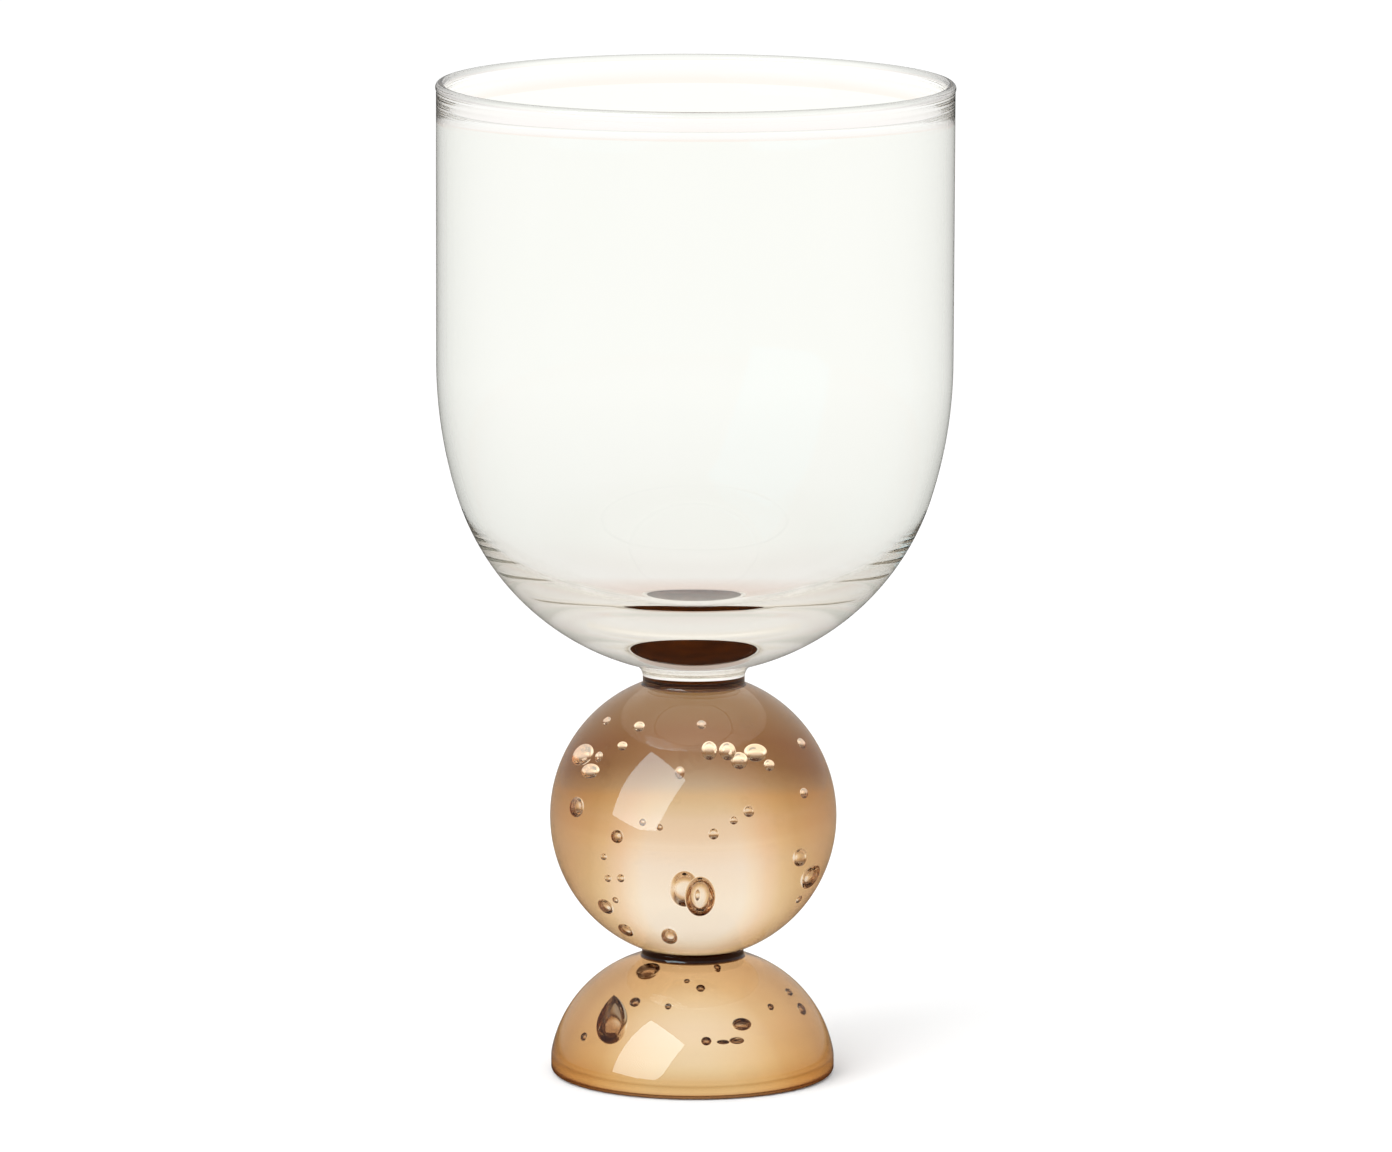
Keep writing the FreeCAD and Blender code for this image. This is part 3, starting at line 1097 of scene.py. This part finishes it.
@dataclass
class Studio:
    """The floor, the lights, the world and the camera. Lengths are in metres."""

    distance: float = 1.690
    height: float = 0.3645
    aim: float = 0.086
    focal_share: float = 10055 / 1392
    aside: float = -3.8 / 1392
    roll: float = 0.2
    softbox_way: Colour = (-0.593, -0.690, 0.417)
    softbox_across: Colour = (0.596, -0.757, -0.273)
    softbox_up: Colour = (0.479, 0.066, 0.875)
    softbox_size: Spot = (0.61, 0.80)
    softbox_target: float = 0.0446
    softbox_distance: float = 0.8
    softbox_gloss: float = 6.0
    softbox_through: float = 1.4
    lamp_watts: float = 6.0
    fill: float = 1.15
    gloss_light: float = 0.42
    through_light: float = 1.12
    sides: int = 96
    floor_drop: float = 0.0001
    floor_radius: float = 3.0
    # Painted shadow and amber light on the floor, by distance from the goblet, shown only through or off
    # the glass
    floor_shadow_tones: Tones = (
        (0.014, (0.52, 0.40, 0.24)),
        (0.020, (0.13, 0.055, 0.025)),
        (0.025, (0.13, 0.055, 0.025)),
        (0.036, (0.52, 0.49, 0.44)),
        (0.060, (0.45, 0.38, 0.30)),
        (0.085, (0.36, 0.24, 0.17)),
        (0.112, (0.36, 0.25, 0.17)),
        (0.146, (0.53, 0.44, 0.35)),
        (0.170, (0.70, 0.54, 0.35)),
        (0.206, (0.75, 0.62, 0.44)),
        (0.265, (0.81, 0.69, 0.56)),
        (0.385, (0.85, 0.73, 0.61)),
        (0.780, (0.90, 0.81, 0.72)),
        (1.0, (0.92, 0.84, 0.76)),
    )
    sky_tones: Tones = (
        (0.0, (0.93, 0.86, 0.80)),
        (0.07, (0.95, 0.92, 0.90)),
        (0.17, (0.98, 0.96, 0.93)),
        (0.3, (1.0, 1.0, 0.98)),
        (0.5, (1.0, 0.99, 0.97)),
        (0.66, (0.94, 0.90, 0.83)),
        (0.76, (0.94, 0.90, 0.83)),
        (0.90, (1.25, 1.22, 1.15)),
    )
    softbox_colour: Colour = (0.79, 0.94, 1.0)
    card_gloss: float = 0.06
    card_height: float = 0.0686
    card_inner: float = 0.0095
    card_outer: float = 3.2
    # Painted shade seen through the bowl: brown and grey near the joint, pale further out
    card_shade_tones: Tones = (
        (0.0690, (0.62, 0.43, 0.34)),
        (0.0702, (0.72, 0.60, 0.53)),
        (0.0730, (0.80, 0.78, 0.74)),
        (0.12, (0.83, 0.835, 0.79)),
        (0.35, (0.92, 0.925, 0.885)),
        (1.0, (0.925, 0.93, 0.89)),
    )

    def camera(self) -> None:
        """The camera, at the photograph's angle."""
        data = bpy.data.cameras.new("camera")
        data.sensor_width = 36
        data.lens = data.sensor_width * self.focal_share
        data.shift_x = self.aside
        data.clip_start = 0.01
        data.clip_end = 50
        cam = bpy.data.objects.new("camera", data)
        bpy.context.scene.collection.objects.link(cam)
        cam.location = (0, -self.distance, self.height)
        pitch = math.pi / 2 - math.atan2(self.height - self.aim, self.distance)
        cam.rotation_euler = (pitch, math.radians(-self.roll), 0)
        bpy.context.scene.camera = cam

    def softbox(self) -> None:
        """The large soft light left of the camera: a lamp for the floor and a panel for the glass."""
        away = Vector(self.softbox_way).normalized()
        across = Vector(self.softbox_across) * self.softbox_size[0] / 2
        up = Vector(self.softbox_up) * self.softbox_size[1] / 2
        middle = Vector((0, 0, self.softbox_target)) + away * self.softbox_distance
        data = bpy.data.lights.new("softbox", "AREA")
        data.shape = "RECTANGLE"
        data.size, data.size_y = self.softbox_size
        data.energy = self.lamp_watts
        lamp = bpy.data.objects.new("softbox", data)
        bpy.context.scene.collection.objects.link(lamp)
        lamp.location = middle
        lamp.rotation_euler = away.to_track_quat("Z", "Y").to_euler()
        lamp.visible_glossy = False
        lamp.visible_transmission = False
        corners = [middle - across - up, middle + across - up, middle + across + up, middle - across + up]
        panel = self.stage_mesh("softbox_panel", corners, [(0, 1, 2, 3)])
        nodes, links, through, seen = self.hidden_material(panel)
        strength = nodes.new("ShaderNodeMix")
        strength.inputs["A"].default_value = self.softbox_gloss
        strength.inputs["B"].default_value = self.softbox_through
        glow = nodes.new("ShaderNodeEmission")
        glow.inputs["Color"].default_value = (*self.softbox_colour, 1)
        links.new(through, strength.inputs["Factor"])
        links.new(strength.outputs["Result"], glow.inputs["Strength"])
        links.new(glow.outputs[0], seen.inputs[2])

    def stage_mesh(self, name: str, points: list[Vector], faces: list[Face]) -> bpy.types.Object:
        """A piece of the studio.

        Args:
            name: Its name.
            points: Its points, in metres.
            faces: Its faces.

        Returns:
            The object.
        """
        mesh = bpy.data.meshes.new(name)
        mesh.from_pydata(points, [], faces)
        made = bpy.data.objects.new(name, mesh)
        bpy.context.scene.collection.objects.link(made)
        return made

    def glass_rays(
        self, nodes: bpy.types.Nodes, links: bpy.types.NodeLinks
    ) -> tuple[bpy.types.NodeSocket, bpy.types.NodeSocket]:
        """Tell the rays that left the glass, through it or off it, from all others.

        Args:
            nodes: The nodes that the answer joins.
            links: Their links.

        Returns:
            A socket that is 1 for rays that have been through glass, and one that is 1 for those and also
            for reflections.
        """
        ray = nodes.new("ShaderNodeLightPath")
        through = nodes.new("ShaderNodeMath")
        through.operation = "MINIMUM"
        through.inputs[1].default_value = 1.0
        either = nodes.new("ShaderNodeMath")
        either.operation = "MAXIMUM"
        links.new(ray.outputs["Transmission Depth"], through.inputs[0])
        links.new(through.outputs[0], either.inputs[0])
        links.new(ray.outputs["Is Glossy Ray"], either.inputs[1])
        return through.outputs[0], either.outputs[0]

    def hidden_material(
        self, owner: bpy.types.Object, one_sided: bool = False
    ) -> tuple[bpy.types.Nodes, bpy.types.NodeLinks, bpy.types.NodeSocket, bpy.types.Node]:
        """Give a card or panel a material that only the glass shows.

        Args:
            owner: The card or panel.
            one_sided: Whether it is clear from its back.

        Returns:
            The nodes, the links, the socket that is 1 for rays through glass, and the mix whose last input
            takes the glow.
        """
        mat = bpy.data.materials.new(owner.name)
        mat.use_nodes = True
        nodes, links = mat.node_tree.nodes, mat.node_tree.links
        nodes.remove(nodes["Principled BSDF"])
        through, factor = self.glass_rays(nodes, links)
        if one_sided:
            side = nodes.new("ShaderNodeNewGeometry")
            front = nodes.new("ShaderNodeMath")
            front.operation = "SUBTRACT"
            front.use_clamp = True
            links.new(factor, front.inputs[0])
            links.new(side.outputs["Backfacing"], front.inputs[1])
            factor = front.outputs[0]
        clear = nodes.new("ShaderNodeBsdfTransparent")
        seen = nodes.new("ShaderNodeMixShader")
        links.new(factor, seen.inputs[0])
        links.new(clear.outputs[0], seen.inputs[1])
        links.new(seen.outputs[0], nodes["Material Output"].inputs["Surface"])
        owner.data.materials.append(mat)
        return nodes, links, through, seen

    def ring_tones(
        self, nodes: bpy.types.Nodes, links: bpy.types.NodeLinks, tones: Tones
    ) -> bpy.types.NodeSocket:
        """Colour by the distance from the goblet, in metres.

        Args:
            nodes: The material's nodes.
            links: The material's links.
            tones: Distances and colours.

        Returns:
            The colour's socket.
        """
        place = nodes.new("ShaderNodeNewGeometry")
        length = nodes.new("ShaderNodeVectorMath")
        length.operation = "LENGTH"
        ramp = tone_ramp(nodes, tones)
        links.new(place.outputs["Position"], length.inputs[0])
        links.new(length.outputs["Value"], ramp.inputs["Fac"])
        return ramp.outputs["Color"]

    def world(self) -> None:
        """Even studio light, white to the camera."""
        world = bpy.data.worlds.new("studio")
        bpy.context.scene.world = world
        world.use_nodes = True
        nodes, links = world.node_tree.nodes, world.node_tree.links
        ray = nodes.new("ShaderNodeLightPath")
        through, _ = self.glass_rays(nodes, links)
        place = nodes.new("ShaderNodeTexCoord")
        parts = nodes.new("ShaderNodeSeparateXYZ")
        sky = tone_ramp(nodes, self.sky_tones)
        links.new(place.outputs["Generated"], parts.inputs[0])
        links.new(parts.outputs["Z"], sky.inputs["Fac"])
        levels = (
            (ray.outputs["Is Glossy Ray"], self.gloss_light),
            (through, self.through_light),
            (ray.outputs["Is Camera Ray"], 1.0),
        )
        last = None
        for kind, level in levels:
            mix = nodes.new("ShaderNodeMix")
            mix.inputs["A"].default_value = self.fill
            mix.inputs["B"].default_value = level
            links.new(kind, mix.inputs["Factor"])
            if last:
                links.new(last, mix.inputs["A"])
            last = mix.outputs["Result"]
        colour = nodes.new("ShaderNodeMix")
        colour.data_type = "RGBA"
        colour.inputs["A"].default_value = (1, 1, 1, 1)
        links.new(through, colour.inputs["Factor"])
        links.new(sky.outputs["Color"], colour.inputs["B"])
        lit = nodes["Background"]
        links.new(colour.outputs["Result"], lit.inputs["Color"])
        links.new(last, lit.inputs["Strength"])

    def floor(self) -> None:
        """A plain pale floor with its real shadow; to rays through or off the glass it glows instead in
        painted shadow and amber light, dark and brown near the goblet and paler far away.
        """
        points = circle(self.floor_radius, -self.floor_drop, self.sides)
        floor = self.stage_mesh("floor", points, [tuple(range(self.sides))])
        mat = bpy.data.materials.new("floor")
        mat.use_nodes = True
        nodes, links = mat.node_tree.nodes, mat.node_tree.links
        shader = nodes["Principled BSDF"]
        shader.inputs["Base Color"].default_value = (0.9, 0.9, 0.9, 1)
        shader.inputs["Roughness"].default_value = 0.9
        shader.inputs["Specular IOR Level"].default_value = 0.0
        through, factor = self.glass_rays(nodes, links)
        # Painted shadow: the glow that glass rays see in place of the floor's own shading
        glow = nodes.new("ShaderNodeEmission")
        links.new(self.ring_tones(nodes, links, self.floor_shadow_tones), glow.inputs["Color"])
        strength = nodes.new("ShaderNodeMix")
        strength.inputs["A"].default_value = self.gloss_light
        strength.inputs["B"].default_value = self.through_light
        links.new(through, strength.inputs["Factor"])
        links.new(strength.outputs["Result"], glow.inputs["Strength"])
        mix = nodes.new("ShaderNodeMixShader")
        links.new(factor, mix.inputs[0])
        links.new(shader.outputs[0], mix.inputs[1])
        links.new(glow.outputs[0], mix.inputs[2])
        links.new(mix.outputs[0], nodes["Material Output"].inputs["Surface"])
        floor.data.materials.append(mat)

    def card(self) -> None:
        """A pale card round the bowl's joint, which only the bowl shows, in place of the floor; it glows in
        painted shade, grey-brown near the joint and paler outwards.
        """
        count = self.sides
        points = circle(self.card_inner, self.card_height, count)
        points += circle(self.card_outer, self.card_height, count)
        faces = [(k, count + k, count + (k + 1) % count, (k + 1) % count) for k in range(count)]
        card = self.stage_mesh("pale_card", points, faces)
        nodes, links, through, seen = self.hidden_material(card, one_sided=True)
        glow = nodes.new("ShaderNodeEmission")
        links.new(self.ring_tones(nodes, links, self.card_shade_tones), glow.inputs["Color"])
        strength = nodes.new("ShaderNodeMix")
        strength.inputs["A"].default_value = self.card_gloss
        strength.inputs["B"].default_value = self.through_light
        links.new(through, strength.inputs["Factor"])
        links.new(strength.outputs["Result"], glow.inputs["Strength"])
        links.new(glow.outputs[0], seen.inputs[2])

    def build(self) -> None:
        """Set up the whole studio."""
        self.camera()
        self.softbox()
        self.world()
        self.floor()
        self.card()


def main() -> None:
    """Build the goblet and its studio."""
    logging.basicConfig(level=logging.INFO, format="%(message)s")
    amber_streak = (0.97, 0.94, 0.89)
    # Painted shade: the foot's bubbles darkened to brown in streaks
    foot_bubble_shade = (0.45, 0.22, 0.10)
    # The bowl takes a painted grey shade line along its rim
    clear = GlassFinish(
        "clear_glass", (0.985, 0.99, 0.985), colour=(0.80, 0.77, 0.72), density=16.0, painted_mark=RimShadeLine()
    ).material()
    # The ball and the foot take painted shade where light leaves them at a slant, the foot also painted
    # light and shade over its base
    ball_amber = GlassFinish(
        "amber_ball",
        amber_streak,
        colour=(0.796, 0.542, 0.19),
        density=12.0,
        slant=SlantShade(),
        fade=SlantFade(low=0.019, high=0.031, least=0.25),
    ).material()
    foot_amber = GlassFinish(
        "amber_foot",
        amber_streak,
        colour=(0.82, 0.60, 0.25),
        density=13.0,
        slant=SlantShade("foot_painted_slant_shade", FOOT_SLANT_SHADE),
        painted_mark=PaintedBaseRings(),
    ).material()
    # The ball's high bubbles take painted highlights
    ball_bubble = GlassFinish("ball_bubble", amber_streak, glints=TopGlints()).material()
    foot_bubble = GlassFinish("foot_bubble", foot_bubble_shade).material()
    seal = SealFinish().material()
    foot = Foot()
    ball = StemBall(foot.top())
    bowl = Bowl(ball.top())
    Piece("foot_glass", "foot", Glass.AMBER, foot.build()).dress([foot_amber, foot_bubble])
    Piece("ball_glass", "stem_ball", Glass.AMBER, ball.build()).dress([ball_amber, ball_bubble])
    Piece("joint_seals", "stem_ball", Glass.AMBER, ball.build_seals()).dress([seal])
    Piece("bowl_glass", "bowl", Glass.CLEAR, bowl.build()).dress([clear])
    Studio().build()
    scene = bpy.context.scene
    scene.view_settings.view_transform = "Standard"
    scene.cycles.max_bounces = 100
    scene.cycles.transmission_bounces = 64
    scene.cycles.glossy_bounces = 100


if __name__ == "__main__":
    main()
